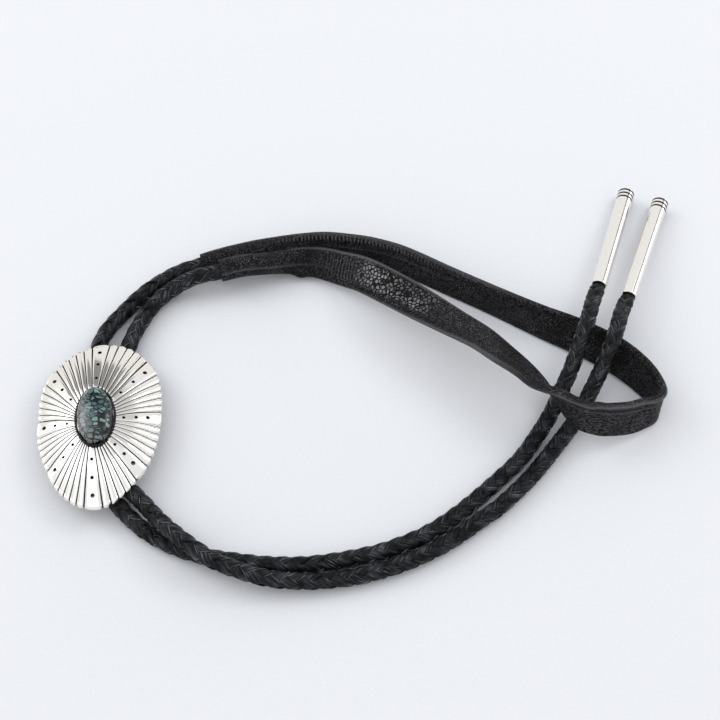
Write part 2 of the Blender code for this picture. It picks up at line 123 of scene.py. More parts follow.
# One create_grid moved onto a table of places, rows by columns, in metres
def shapedGrid(bm, places, first=None, second=None):
    rows, columns = places.shape[:2]
    made = bmesh.ops.create_grid(bm, x_segments=columns - 1, y_segments=rows - 1, size=1.0)
    uvLayer = bm.loops.layers.uv.get("UVMap") or bm.loops.layers.uv.new("UVMap")
    for vert in made["verts"]:
        column = round((vert.co.x + 1) / 2 * (columns - 1))
        row = round((vert.co.y + 1) / 2 * (rows - 1))
        vert.co = places[row, column]
        if first is None:
            continue
        for loop in vert.link_loops:
            loop[uvLayer].uv = (first[row, column], second[row, column])


# Merge the seam, fill the open ends and turn the faces outwards
def closeUp(bm, mergeWithin=0.0005):
    bmesh.ops.remove_doubles(bm, verts=bm.verts, dist=mergeWithin * mm)
    edges = [edge for edge in bm.edges if edge.is_boundary]
    bmesh.ops.holes_fill(bm, edges=edges, sides=0)
    bmesh.ops.recalc_face_normals(bm, faces=bm.faces)


# Turn a profile of radii and heights once round the upright axis
def spun(bm, profile, steps):
    corners = [bm.verts.new((radius * mm, 0.0, height * mm)) for radius, height in profile]
    edges = [bm.edges.new(pair) for pair in zip(corners, corners[1:])]
    bmesh.ops.spin(bm, geom=corners + edges, cent=(0, 0, 0), axis=(0, 0, 1), angle=2 * pi,
                   steps=steps, use_merge=True)
    bmesh.ops.remove_doubles(bm, verts=bm.verts, dist=0.001 * mm)
    bmesh.ops.recalc_face_normals(bm, faces=bm.faces)


# Smooth curve through rows of numbers, the first three a place
def smoothCurve(points):
    rows = np.array(points, dtype=float)
    steps = np.linalg.norm(np.diff(rows[:, :3], axis=0), axis=1)
    reached = np.concatenate(([0.0], np.cumsum(steps)))
    slopes = np.empty_like(rows)
    slopes[1:-1] = (rows[2:] - rows[:-2]) / (reached[2:] - reached[:-2])[:, None]
    slopes[0] = (rows[1] - rows[0]) / steps[0]
    slopes[-1] = (rows[-1] - rows[-2]) / steps[-1]

    def at(distance):
        place = int(np.searchsorted(reached, distance)) - 1
        place = min(max(place, 0), len(steps) - 1)
        k = (distance - reached[place]) / steps[place]
        return ((2 * k**3 - 3 * k**2 + 1) * rows[place]
                + (k**3 - 2 * k**2 + k) * steps[place] * slopes[place]
                + (3 * k**2 - 2 * k**3) * rows[place + 1]
                + (k**3 - k**2) * steps[place] * slopes[place + 1])

    return at, reached[-1]


# Camera and cords

camera = {"target": (-2.7, -4.6, 0.0), "elevation": 57.5, "distance": 542.0, "lens": 80.0}


def addCamera():
    data = bpy.data.cameras.new("camera")
    data.lens = camera["lens"]
    data.sensor_width = 36.0
    data.clip_start = 0.01
    eye = bpy.data.objects.new("camera", data)
    slope = radians(camera["elevation"])
    back = Vector((0.0, -cos(slope), sin(slope))) * camera["distance"]
    eye.location = (Vector(camera["target"]) + back) * mm
    eye.rotation_euler = (pi / 2 - slope, 0.0, 0.0)
    bpy.context.scene.collection.objects.link(eye)
    bpy.context.scene.camera = eye


cords = {
    "leftRoute": (
        (-47.7, 35.6, 4.4), (-52.6, 34.0, 4.3), (-57.4, 32.2, 4.2), (-65.4, 29.7, 3.2),
        (-72.7, 24.8, 3.0), (-78.1, 19.7, 3.0), (-84.3, 11.5, 3.3), (-88.7, 4.6, 3.6),
        (-90.8, -2.1, 3.9), (-91.2, -15.1, 3.9), (-91.2, -28.1, 3.9), (-91.2, -41.1, 3.9),
        (-88.3, -50.6, 3.8), (-82.3, -58.3, 3.4), (-76.4, -65.0, 3.1), (-69.5, -71.0, 3.0),
        (-60.6, -76.0, 3.0), (-51.1, -79.2, 3.0), (-43.2, -80.6, 3.0), (-32.0, -82.0, 3.0),
        (-17.8, -81.9, 3.0), (1.1, -78.4, 3.0), (12.4, -74.3, 3.0), (21.3, -69.6, 3.0),
        (31.2, -62.0, 3.0), (43.0, -51.0, 3.0), (49.2, -44.5, 3.0), (55.5, -35.4, 3.1),
        (60.2, -27.8, 4.2), (63.6, -21.0, 6.5), (66.9, -14.5, 9.5), (69.9, -7.2, 12.2),
        (73.3, 2.4, 13.4), (76.4, 12.8, 11.1), (78.7, 18.7, 10.0)),
    "rightRoute": (
        (-41.7, 29.1, 8.0), (-46.3, 28.0, 8.1), (-50.9, 26.6, 8.0), (-59.3, 25.0, 6.8),
        (-66.1, 22.2, 5.0), (-72.9, 16.2, 3.9), (-77.0, 9.1, 3.5), (-79.9, 1.6, 3.7),
        (-81.6, -6.1, 3.9), (-83.1, -16.1, 3.9), (-83.3, -28.1, 3.9), (-83.3, -41.1, 3.9),
        (-81.7, -49.1, 3.9), (-77.3, -54.9, 4.0), (-71.5, -61.7, 5.4), (-64.3, -70.4, 8.1),
        (-55.1, -78.5, 9.2), (-48.4, -82.8, 8.5), (-43.3, -84.7, 7.4), (-31.7, -87.6, 5.4),
        (-19.4, -88.0, 3.9), (-7.0, -86.6, 3.1), (0.4, -85.0, 3.0), (11.8, -81.1, 3.0),
        (24.3, -74.6, 3.0), (38.1, -64.5, 3.0), (41.4, -62.1, 3.0), (52.4, -50.9, 3.0),
        (62.2, -38.3, 3.1), (67.1, -31.7, 3.8), (71.6, -24.2, 5.5), (77.0, -14.2, 8.9),
        (80.5, -6.7, 11.7), (83.2, 0.3, 12.9), (85.8, 8.6, 10.0), (88.7, 15.0, 8.9)),
    "inSleeve": 3,                # route points inside the strap's sleeve
    "stepLength": 0.5,            # of the line that the route is turned into
    "intoTip": 3.0,               # how far the braid runs up the tip's bore
    "tipPoints": 6,               # of the line along that stretch
    "tipHeading": {"left": 17.6, "right": 19.8},      # degrees from +Y towards +X
    "diameter": 5.8,
    "pitch": 21.0,                # one lace's full turn round the cord
    "lacesEachWay": 4,
    "laceWidth": 3.2,
    "laceThickness": 0.8,
    "midRadius": 1.92,
    "weave": 0.5,                 # how far a lace rises and dips over two others
    "plateau": 2.2,               # how flat the tops and bottoms of that wave are
    "slant": 1.2,                 # laces lean a little more than their middle radius gives
    "sectionPoints": 10,
    "stepsPerTurn": 40,
    "neckLength": 2.2,            # where the braid narrows into its tip
    "neckRadius": 2.1,
    "coreRadius": 1.2,            # the plain cord that the laces are braided over
    "corePoints": 9,
    "coreEvery": 4,               # it has one ring for so many of the laces' rows
    "squareness": 0.36}           # 1 rounds the lace's section, near 0 squares it


# Even steps along a cord with a frame that doesn't twist: reached, places, up, side
def cordLine(route, heading):
    at, length = smoothCurve(route)
    points = [at(distance)[:3] for distance in np.arange(0.0, length, cords["stepLength"])]
    last = np.array(route[-1])
    tipRadius = tips["endDiameter"] / 2
    slope = asin((last[2] - tipRadius) / (tips["length"] + tips["gap"]))
    ahead = np.array((sin(radians(heading)) * cos(slope), cos(radians(heading)) * cos(slope),
                      -sin(slope)))
    points += [last + ahead * step
               for step in np.linspace(0.0, cords["intoTip"], cords["tipPoints"])]
    points = np.array(points)
    reached = np.concatenate(([0.0], np.cumsum(np.linalg.norm(np.diff(points, axis=0), axis=1))))
    tangents = np.gradient(points, axis=0)
    tangents /= np.linalg.norm(tangents, axis=1)[:, None]
    up = np.array((0.0, 0.0, 1.0))
    ups = []
    for tangent in tangents:
        up = up - tangent * up.dot(tangent)
        up = up / np.linalg.norm(up)
        ups.append(up)
    ups = np.array(ups)
    return reached, points, ups, np.cross(tangents, ups)


def alongLine(line, distance):
    reached, *tables = line
    flat = distance.ravel()
    return [np.stack([np.interp(flat, reached, table[:, axis]) for axis in range(3)], -1)
            .reshape(*distance.shape, 3) for table in tables]


def buildCord(side, material):
    route, heading = cords[side + "Route"], cords["tipHeading"][side]
    line = cordLine(route, heading)
    length = line[0][-1]
    turnRate = 2 * pi / cords["pitch"]
    outer = cords["midRadius"] + cords["weave"] + cords["laceThickness"] / 2
    lay = atan(turnRate * cords["midRadius"] * cords["slant"])
    rows = int(length / cords["pitch"] * cords["stepsPerTurn"])
    quarter = pi / 2
    angles = np.linspace(0.0, 2 * pi, cords["sectionPoints"] + 1)
    power = cords["squareness"]
    across = cords["laceWidth"] / 2 * np.sign(np.cos(angles)) * abs(np.cos(angles)) ** power
    through = cords["laceThickness"] / 2 * np.sign(np.sin(angles)) * abs(np.sin(angles)) ** power
    share = 0.5 + across / cords["laceWidth"]
    along = np.linspace(0.0, length, rows)[:, None]
    bm = bmesh.new()
    for way in (1, -1):
        for lace in range(cords["lacesEachWay"]):
            start = lace * quarter + (quarter / 2 if way < 0 else 0.0)
            theta = start + way * turnRate * along + across * cos(lay) / cords["midRadius"]
            z = np.clip(along - way * across * sin(lay), 0.0, length)
            other = (theta + way * turnRate * z - (quarter / 2 if way > 0 else 0.0)) / quarter
            wave = np.cos(2 * pi * (lace + other - 0.5) / 4) * way
            rise = np.tanh(cords["plateau"] * wave) / np.tanh(cords["plateau"])
            radius = cords["midRadius"] + cords["weave"] * rise + through
            neck = smoothStep(0.0, cords["neckLength"], length - cords["intoTip"] - z)
            radius = radius * mix(cords["neckRadius"] / outer, 1.0, neck)
            places, ups, sides = alongLine(line, z)
            spots = places + radius[..., None] * (
                np.cos(theta)[..., None] * ups + np.sin(theta)[..., None] * sides)
            shapedGrid(bm, spots * mm, share + 0 * along, z / 10 + lace + way)
    core = np.linspace(0.0, 2 * pi, cords["corePoints"])
    coreAlong = np.linspace(0.0, length, rows // cords["coreEvery"])[:, None] + 0 * core
    places, ups, sides = alongLine(line, coreAlong)
    spots = places + cords["coreRadius"] * (np.cos(core)[:, None] * ups
                                            + np.sin(core)[:, None] * sides)
    shapedGrid(bm, spots * mm, 0 * coreAlong + 0.5, coreAlong / 10)
    closeUp(bm)
    cord = addPiece("cord_" + side + "_braid", bm, material)
    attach(cord, "root")
    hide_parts("cord_" + side)
    print(cord.name, "is", round(length), "mm long")


# Leather, from tanned hide

# Dyed kangaroo lace: near black and streaked where it was drawn, its light streaks partly painted
# highlight, painted shade along its sides, its cut edges greyer
def lacedLeather():
    material, tree, shader = newMaterial("dyed_lace_leather",
                                         {"IOR": 1.5, "Specular IOR Level": 0.12})
    where = addNode(tree, "TexCoord")
    lace = addNode(tree, "UVMap", {"uv_map": "UVMap"})   # share across, cm along
    parts = addNode(tree, "SeparateXYZ", links={"Vector": lace})
    # stretch marks along the lace, 0.35 mm apart
    drawn = addNode(tree, "Mapping", {"Scale": (9.0, 1.8, 1.0)}, {"Vector": lace})
    streaks = addNode(tree, "TexNoise", {"Scale": 1.0, "Detail": 3.0, "Roughness": 0.6},
                      {"Vector": drawn})
    # blotches of dye, about 5 mm apart
    dye = addNode(tree, "TexNoise", {"Scale": 200.0, "Detail": 3.0},
                  {"Vector": where.outputs["Object"]})
    faded = addNode(tree, "MapRange",
                    {"From Min": 0.3, "From Max": 0.7, "To Min": 0.84, "To Max": 1.14},
                    {"Value": dye})
    both = addNode(tree, "Math", {"operation": "MULTIPLY"}, {0: streaks, 1: faded})
    # the streaks run from near black to light grey: partly drawn marks in the lace, partly painted
    # highlight on its gloss
    colour = addNode(tree, "ValToRGB",
                     {"stops": [(0.36, "#030304"), (0.5, "#16181b"), (0.6, "#34383c"),
                                (0.74, "#686d72")]},
                     {"Fac": both})
    # 0 along the lace's middle, 1 at its sides
    fromEdge = addNode(tree, "Math", {"operation": "MULTIPLY_ADD", 1: 2.0, 2: -1.0},
                       {0: parts.outputs["X"]})
    outward = addNode(tree, "Math", {"operation": "ABSOLUTE"}, {0: fromEdge})
    # painted shade: the lace darkens towards its sides, where it dips beside and under its
    # neighbours
    sideShade = addNode(tree, "MapRange",
                     {"From Min": 0.68, "From Max": 0.9, "To Min": 1.0, "To Max": 0.15},
                     {"Value": outward})
    sideShaded = addNode(tree, "VectorMath", {"operation": "SCALE"}, {0: colour, "Scale": sideShade})
    # the cut edge, 0.15 mm wide, scuffed in places
    rim = addNode(tree, "MapRange", {"From Min": 0.9, "From Max": 0.96}, {"Value": outward})
    scuffs = addNode(tree, "MapRange", {"From Min": 0.42, "From Max": 0.58}, {"Value": dye})
    scuffed = addNode(tree, "Math", {"operation": "MULTIPLY"}, {0: rim, 1: scuffs})
    cut = addNode(tree, "Mix", {"data_type": "RGBA", "B": linearColour("#7a7774")},
                  {"Factor": scuffed, "A": sideShaded})
    gloss = addNode(tree, "MapRange",
                    {"From Min": 0.35, "From Max": 0.65, "To Min": 0.42, "To Max": 0.26},
                    {"Value": streaks})
    bump = addNode(tree, "Bump", {"Strength": 0.8, "Distance": 0.0003}, {"Height": streaks})
    connect(tree, shader, {"Base Color": cut, "Roughness": gloss, "Normal": bump})
    return material


# Black kid leather, pebbled: painted shade in its creases, worn tops with painted sheen, and
# gathers and rubbed edges lightened partly by painted highlight
def strapLeather():
    material, tree, shader = newMaterial(
        "black_kid_leather", {"IOR": 1.5, "Specular IOR Level": 0.12})
    lie = addNode(tree, "UVMap", {"uv_map": "UVMap"})    # centimetres round, along
    where = addNode(tree, "TexCoord")
    amount, gathered, edged, pulled = [
        addNode(tree, "Attribute", {"attribute_name": label})
        for label in ("pebble", "gather", "edge", "pull")]
    # creases wander by up to 0.7 mm, about every 3 mm
    warp = addNode(tree, "TexNoise", {"Scale": 300.0, "Detail": 2.0},
                   {"Vector": where.outputs["Object"]})
    bent = addNode(tree, "VectorMath", {"operation": "MULTIPLY_ADD", 1: (0.07,) * 3},
                   {0: warp.outputs["Color"], 2: lie})
    # pebbles 1.3 mm across where the band is bent most, with thin creases between them
    pebbles = addNode(tree, "TexVoronoi", {"Scale": 7.7, "feature": "DISTANCE_TO_EDGE"},
                      {"Vector": bent})
    bold = addNode(tree, "MapRange",
                   {"interpolation_type": "SMOOTHSTEP", "From Min": 0.02, "From Max": 0.2},
                   {"Value": pebbles})
    # finer grain elsewhere, 1 mm by 0.6 mm, drawn out round the strap as wrinkles
    wrinkled = addNode(tree, "Mapping", {"Scale": (1.0, 1.7, 1.0)}, {"Vector": bent})
    fine = addNode(tree, "TexVoronoi", {"Scale": 10.0, "feature": "DISTANCE_TO_EDGE"},
                   {"Vector": wrinkled})
    # outside the turn the grain is pulled into long shallow wrinkles, 2 mm by 0.4 mm
    stretched = addNode(tree, "Mapping",
                        {"Scale": (2.4, 0.5, 1.0), "Rotation": (0.0, 0.0, 0.12)},
                        {"Vector": bent})
    drawnOut = addNode(tree, "TexVoronoi", {"Scale": 10.0, "feature": "DISTANCE_TO_EDGE"},
                       {"Vector": stretched})
    grain = addNode(tree, "Mix", {"data_type": "FLOAT"},
                    {"Factor": pulled.outputs["Fac"], "A": fine, "B": drawnOut})
    calm = addNode(tree, "Math", {"operation": "MULTIPLY", 1: 0.1}, {0: pulled.outputs["Fac"]})
    small = addNode(tree, "MapRange", {"interpolation_type": "SMOOTHSTEP", "From Max": 0.3},
                    {"Value": grain, "To Min": calm})
    grained = addNode(tree, "Mix", {"data_type": "FLOAT"},
                      {"Factor": amount.outputs["Fac"], "A": small, "B": bold})
    # edges and bead lines are rubbed smooth; their colour is lifted partly as painted highlight
    height = addNode(tree, "Mix", {"data_type": "FLOAT", "B": 0.75},
                     {"Factor": edged.outputs["Fac"], "A": grained})
    # painted shade and light by height: the grain's creases darken and its tops lighten
    plain = addNode(tree, "ValToRGB",
                    {"stops": [(0.0, "#010101"), (0.4, "#101012"), (1.0, "#424246")]},
                    {"Fac": height})
    wornAndSheen = addNode(tree, "ValToRGB",
                   {"stops": [(0.0, "#010101"), (0.4, "#282729"), (1.0, "#848185")]},
                   {"Fac": height})
    # the pebbled parts take the lighter tops: partly wear, partly painted sheen
    tops = addNode(tree, "Mix", {"data_type": "RGBA"},
                   {"Factor": amount.outputs["Fac"], "A": plain, "B": wornAndSheen})
    # wear and its painted sheen come and go, in patches about 8 mm apart
    patches = addNode(tree, "TexNoise", {"Scale": 120.0, "Detail": 3.0},
                      {"Vector": where.outputs["Object"]})
    patchy = addNode(tree, "MapRange",
                     {"From Min": 0.35, "From Max": 0.6, "To Min": 0.35, "To Max": 1.0},
                     {"Value": patches})
    patchyWearAndSheen = addNode(tree, "Mix", {"data_type": "RGBA", "A": linearColour("#070708")},
                     {"Factor": patchy, "B": tops})
    # gathers on the rolled edge, 1.3 mm apart, their ridges lightened as painted highlight
    gathers = addNode(tree, "TexWave",
                      {"bands_direction": "Y", "Scale": 2.417, "Distortion": 2.6, "Detail": 2.0,
                       "Detail Scale": 2.0},
                      {"Vector": lie})
    ridges = addNode(tree, "MapRange", {"From Min": 0.6, "From Max": 0.95},
                     {"Value": gathers.outputs["Fac"]})
    ticks = addNode(tree, "Math", {"operation": "MULTIPLY"},
                    {0: ridges, 1: gathered.outputs["Fac"]})
    # painted highlight: edge and bead lines and the gathers' ridges turn light grey, the edges
    # partly rubbed wear too
    rubbedAndHighlit = addNode(tree, "Math", {"operation": "MULTIPLY_ADD", "use_clamp": True, 1: 0.6},
                     {0: edged.outputs["Fac"], 2: ticks})
    colour = addNode(tree, "Mix", {"data_type": "RGBA", "B": linearColour("#77787b")},
                     {"Factor": rubbedAndHighlit, "A": patchyWearAndSheen})
    gloss = addNode(tree, "MapRange", {"To Min": 0.55, "To Max": 0.3}, {"Value": height})
    strength = addNode(tree, "MapRange", {"To Min": 0.7, "To Max": 1.0},
                       {"Value": amount.outputs["Fac"]})
    bump = addNode(tree, "Bump", {"Distance": 0.0005}, {"Height": height, "Strength": strength})
    connect(tree, shader, {"Base Color": colour, "Roughness": gloss, "Normal": bump})
    return material


# Neck strap

strap = {
    "width": 12.4, "thickness": 2.0, "reach": 153.0, "spread": 67.0, "lift": 14.4,
    "beadHeight": 0.5, "beadWidth": 2.6,
    "frontBead": 0.3,             # share of the bead's height left on the front run
    # the dip beside the bead: place as a share of the bead's width, half width, depth
    "valley": (0.62, 0.45, 0.3),
    # the low step across the inner face: from, to, height
    "seam": (-1.2, -0.7), "seamStep": 0.14,
    # the sleeves: their bores reach a little past the cords' ends, with rings at these shares
    "sleeveInside": 3.05, "sleeveWall": 0.75, "borePast": 0.3, "boreRings": (1.0, 0.5, 0.04),
    # the front sleeve's leather laps over itself: height, degrees round, share left level
    "flap": 0.6, "flapAngle": 80.0, "flapLevel": 0.7,
    # how low a section reaches: upright, as a share of its half width, and lying level, as a
    # share of the sleeve's radius and as the band's millimetres
    "sink": 0.97, "sleeveRest": 0.3, "bandRest": 0.7,
    "puckerPitch": 1.3, "puckerDepth": 0.2, "frontPucker": 0.1,
    "ringStep": 0.36, "faceColumns": 22, "edgeColumns": 6,
    "toFront": (0.5, 0.62),       # shares of the length where the back run becomes the front
    # x in the frame, from and to, where things come and go along the strap
    "beadReturns": (28, 45), "gathersEnd": (12, 34), "turnStarts": (40, 60),
    "pebblesStart": (-9, 2), "pebblesFade": (15, 28), "pebblesEnd": (40, 52),
    "pebblesKept": 0.15,          # share of the pebbles left after they fade
    # where the front sleeve ends: x, half width, and how much
    "corner": (-23.5, 2.6, 1.1), "bunch": (-8, 7, 0.28),
    # lines along the band: place across, half width, and how much leather is gathered or rubbed;
    # the lines are lightened partly as painted highlight
    "gathered": (4.5, 0.8, 1.0), "turnLines": ((5.2, 0.5, 0.7), (2.7, 0.25, 0.4)),
    "foldLine": (1.4, 0.3, 0.3), "farEdge": (-5.6, 0.35, 0.8), "nearEdge": (6.05, 0.3),
    "nearWearAndSheen": (0.7, 0.35),    # on the front and the back run
    "flapLine": (6, 0.55),        # half width in degrees round the front sleeve
    # the part of the face that pebbles, across the band: from none to all, all to none
    "faceFrom": (-5.8, -3.6), "faceTo": (2.2, 4.6),
    "leastPebble": 0.12, "turnPebble": 0.1,
    "rows": (
        # along, across, lift, turn, flat: shares, then degrees, then 0 sleeve and 1 band
        (0.137, -0.099, 0.02, 64, 0.0), (0.182, -0.103, 0.01, 64, 0.35),
        (0.226, -0.094, 0.0, 64, 0.8), (0.280, -0.093, 0.0, 67, 1.0),
        (0.334, -0.081, 0.0, 69, 1.0), (0.388, -0.058, 0.0, 70, 1.0),
        (0.454, -0.007, 0.0, 74, 1.0), (0.560, 0.125, 0.0, 76, 1.0),
        (0.658, 0.247, 0.0, 74, 1.0), (0.762, 0.374, 0.0, 63, 1.0),
        (0.829, 0.443, 0.0, 50, 1.0), (0.886, 0.515, 0.0, 45, 1.0),
        (0.924, 0.578, 0.0, 47, 1.0), (0.961, 0.667, 0.0, 57, 1.0),
        (0.986, 0.751, 0.0, 68, 1.0), (1.001, 0.842, 0.02, 84, 1.0),
        (0.990, 0.897, 0.05, 100, 1.0), (0.961, 0.931, 0.10, 112, 1.0),
        (0.925, 0.969, 0.22, 115, 1.0), (0.876, 0.998, 0.39, 115, 1.0),
        (0.853, 1.001, 0.48, 113, 1.0), (0.829, 0.998, 0.56, 105, 1.0),
        (0.803, 0.964, 0.61, 94, 1.0), (0.779, 0.916, 0.67, 78, 1.0),
        (0.756, 0.875, 0.72, 60, 1.0), (0.734, 0.830, 0.79, 45, 1.0),
        (0.705, 0.760, 0.86, 38, 1.0), (0.663, 0.669, 0.90, 28, 1.0),
        (0.616, 0.571, 0.95, 19, 1.0), (0.556, 0.476, 1.0, 9, 1.0),
        (0.490, 0.360, 0.93, -7, 1.0), (0.424, 0.240, 0.69, -25, 1.0),
        (0.366, 0.127, 0.40, -38, 1.0), (0.320, 0.060, 0.18, -45, 0.95),
        (0.270, 0.006, 0.07, -48, 0.8), (0.226, -0.007, 0.10, -48, 0.5),
        (0.182, 0.006, 0.17, -48, 0.15), (0.148, 0.022, 0.22, -48, 0.0))}


# Across and through, once round the flat band, starting at the middle of its bead
def bandOutline():
    halfWidth, halfThick = strap["width"] / 2, strap["thickness"] / 2
    face = np.linspace(1.0, -1.0, strap["faceColumns"]) * (halfWidth - halfThick)
    points = []
    for step in range(strap["edgeColumns"] // 2):
        angle = pi / 2 * step / (strap["edgeColumns"] // 2)
        points.append((halfWidth - halfThick + halfThick * cos(angle), halfThick * sin(angle)))
    points += [(x, halfThick) for x in face]
    for step in range(1, strap["edgeColumns"]):
        angle = pi / 2 + pi * step / strap["edgeColumns"]
        points.append((halfThick - halfWidth + halfThick * cos(angle), halfThick * sin(angle)))
    points += [(x, -halfThick) for x in face[::-1]]
    for step in range(1, strap["edgeColumns"] // 2 + 1):
        angle = -pi / 2 + pi / 2 * step / (strap["edgeColumns"] // 2)
        points.append((halfWidth - halfThick + halfThick * cos(angle), halfThick * sin(angle)))
    points = np.array(points)
    x = points[:, 0]
    middle = halfWidth - strap["beadWidth"] / 2
    bead = np.cos(np.clip((x - middle) / strap["beadWidth"], -0.5, 0.5) * pi) ** 2
    place, halfValley, depth = strap["valley"]
    valley = hump(x, middle - strap["beadWidth"] * place, halfValley)
    rolled = np.sign(points[:, 1]) * (strap["beadHeight"] * bead - depth * valley)
    # the inner face's leather ends in a low step along the band's middle
    points[:, 1] += (points[:, 1] > 0) * strap["seamStep"] * smoothStep(*strap["seam"], x)
    return points, rolled


# The sleeves lie on the cords, and the rows run between them
def strapLine():
    back = cords["leftRoute"][:cords["inSleeve"]][::-1]
    front = cords["rightRoute"][:cords["inSleeve"]]
    mouth = back[0]
    rows = [(*point, strap["rows"][0][3], 0.0) for point in back]
    sleeve = strap["sleeveInside"] + strap["sleeveWall"]
    for along, across, lift, turn, flat in strap["rows"]:
        slope = radians(turn)
        reachDown = abs(sin(slope)) * mix(sleeve, strap["width"] / 2, flat) * strap["sink"]
        reachDown += abs(cos(slope)) * mix(sleeve * strap["sleeveRest"], strap["bandRest"], flat)
        rows.append((mouth[0] + along * strap["reach"], mouth[1] - across * strap["spread"],
                     lift * strap["lift"] + reachDown, turn, flat))
    rows += [(*point, strap["rows"][-1][3], 0.0) for point in front]
    return smoothCurve(rows)


# A line along the band, by its place across
def bandLine(band, middle, halfWidth, strength):
    return strength * hump(band[:, 0], middle, halfWidth)


# The top of the rolled bead, where the leather gathers
def gatheredBead(band):
    return bandLine(band, *strap["gathered"]) * (band[:, 1] > -0.4)


# How pebbled, gathered, rubbed and pulled the leather is, once round the strap at one place; the
# gathered and rubbed lines carry painted highlight too
def leatherLabels(band, angles, x, share, flat, inside):
    outer = band[:, 1] < 0.1      # the side away from the wearer's neck, and the edges' middles
    inner = band[:, 1] > 0.1
    front = share > 0.5
    backRun = 1 - float(smoothStep(*strap["toFront"], share))
    lit = 1 - float(smoothStep(*strap["gathersEnd"], x))
    turned = float(smoothStep(*strap["turnStarts"], x))
    bent = 0.0
    if front:
        bent = float(smoothStep(*strap["pebblesStart"], x)
                     * (1 - (1 - strap["pebblesKept"]) * smoothStep(*strap["pebblesFade"], x))
                     * (1 - smoothStep(*strap["pebblesEnd"], x)))
    face = (smoothStep(*strap["faceFrom"], band[:, 0])
            * (1 - smoothStep(*strap["faceTo"], band[:, 0])))
    pebble = (strap["leastPebble"] + (1 - strap["leastPebble"]) * bent * face * flat
              + strap["turnPebble"] * turned * outer)
    pull = turned * outer
    if inside:
        return pebble, 0 * pebble, 0 * pebble, pull
    bunchPlace, bunchWidth, bunch = strap["bunch"]
    bunched = bunch * front * hump(x, bunchPlace, bunchWidth) * face
    # the gathers' ridges get painted highlight where lit
    gather = (gatheredBead(band) * backRun * lit + bunched) * flat
    flapWidth, flapHighlight = strap["flapLine"]
    onFlap = flapHighlight * hump(np.degrees(angles), strap["flapAngle"], flapWidth)
    turnLines = sum(bandLine(band, *line) for line in strap["turnLines"]) * outer
    foldLine = bandLine(band, *strap["foldLine"]) * inner
    farEdge = bandLine(band, *strap["farEdge"]) * inner
    nearEdge = bandLine(band, *strap["nearEdge"], mix(*strap["nearWearAndSheen"], backRun))
    # the edge label: painted highlight lines on the flap, fold, edges and the turn's bead, partly
    # rubbed wear
    edge = (onFlap * (1 - flat) * front + foldLine * flat * backRun * lit
            + farEdge * flat * front + turnLines * flat * turned
            + nearEdge * flat * (1 - turned))
    return pebble, gather, edge, pull


def buildStrap(material):
    at, length = strapLine()
    band, rolled = bandOutline()
    columns = len(band)
    angles = np.linspace(0.0, 2 * pi, columns)
    circle = np.stack([np.cos(angles), np.sin(angles)], -1)
    lap = (angles - radians(strap["flapAngle"])) % (2 * pi) / (2 * pi)
    depth = [smoothCurve(cords[side][:cords["inSleeve"]])[1] + strap["borePast"]
             for side in ("leftRoute", "rightRoute")]
    stations = [(depth[0] * share, True) for share in strap["boreRings"]]
    stations += [(distance, False) for distance in
                 np.linspace(0.0, length, int(length / strap["ringStep"]))]
    stations += [(length - depth[1] * share, True) for share in strap["boreRings"][::-1]]
    onBead = gatheredBead(band)
    places, around, down, labels = [], [], [], []
    for distance, inside in stations:
        row = at(distance)
        tangent = Vector(at(distance + 1.0)[:3] - at(distance - 1.0)[:3]).normalized()
        level = Vector((-tangent.y, tangent.x, 0.0)).normalized()
        upward = tangent.cross(level)
        if upward.z < 0:
            upward.negate()
        slope = radians(row[3])
        across = np.array(level * cos(slope) + upward * sin(slope))
        through = np.array(upward * cos(slope) - level * sin(slope))
        flat = min(max(row[4], 0.0), 1.0)
        front = distance > length / 2
        radius = strap["sleeveInside"] + (0.0 if inside else strap["sleeveWall"])
        if front and not inside:
            radius = radius + strap["flap"] * (strap["flapLevel"] - lap) * (1 - flat)
        ring = circle * np.broadcast_to(radius, angles.shape)[:, None]
        if not inside:
            backRun = 1 - float(smoothStep(*strap["toFront"], distance / length))
            rollBack = float(smoothStep(*strap["beadReturns"], row[0]))
            roll = mix(strap["frontBead"], 1.0, max(backRun, rollBack))
            shape = band + np.stack([0 * rolled, rolled * roll], -1)
            ring = mix(ring, shape, flat)
            pucker = 0.5 + 0.5 * cos(2 * pi * distance / strap["puckerPitch"])
            puckered = pucker * onBead * flat * mix(strap["frontPucker"], 1.0, backRun)
            ring[:, 1] -= strap["puckerDepth"] * puckered
        if front:             # a corner of the sleeve stands out where it ends
            cornerPlace, cornerWidth, corner = strap["corner"]
            ring[:, 0] += corner * hump(row[0], cornerPlace, cornerWidth) * (circle[:, 0] > 0.8)
        places.append(row[:3] + ring[:, :1] * across + ring[:, 1:] * through)
        lengths = np.concatenate(([0.0], np.cumsum(
            np.linalg.norm(np.diff(ring, axis=0), axis=1))))
        around.append(lengths / 10)
        down.append(np.full(columns, distance / 10))
        labels.append(leatherLabels(band, angles, row[0], distance / length, flat, inside))
    bm = bmesh.new()
    shapedGrid(bm, np.array(places) * mm, np.array(around), np.array(down))
    bm.verts.ensure_lookup_table()
    for label, table in zip(("pebble", "gather", "edge", "pull"), zip(*labels)):
        layer = bm.verts.layers.float.new(label)
        for index, value in enumerate(np.array(table).ravel()):
            bm.verts[index][layer] = value
    closeUp(bm)
    piece = addPiece("strap_leather", bm, material, 50)
    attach(piece, "root")
    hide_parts("neck_strap")
    print("strap built")


# Concho

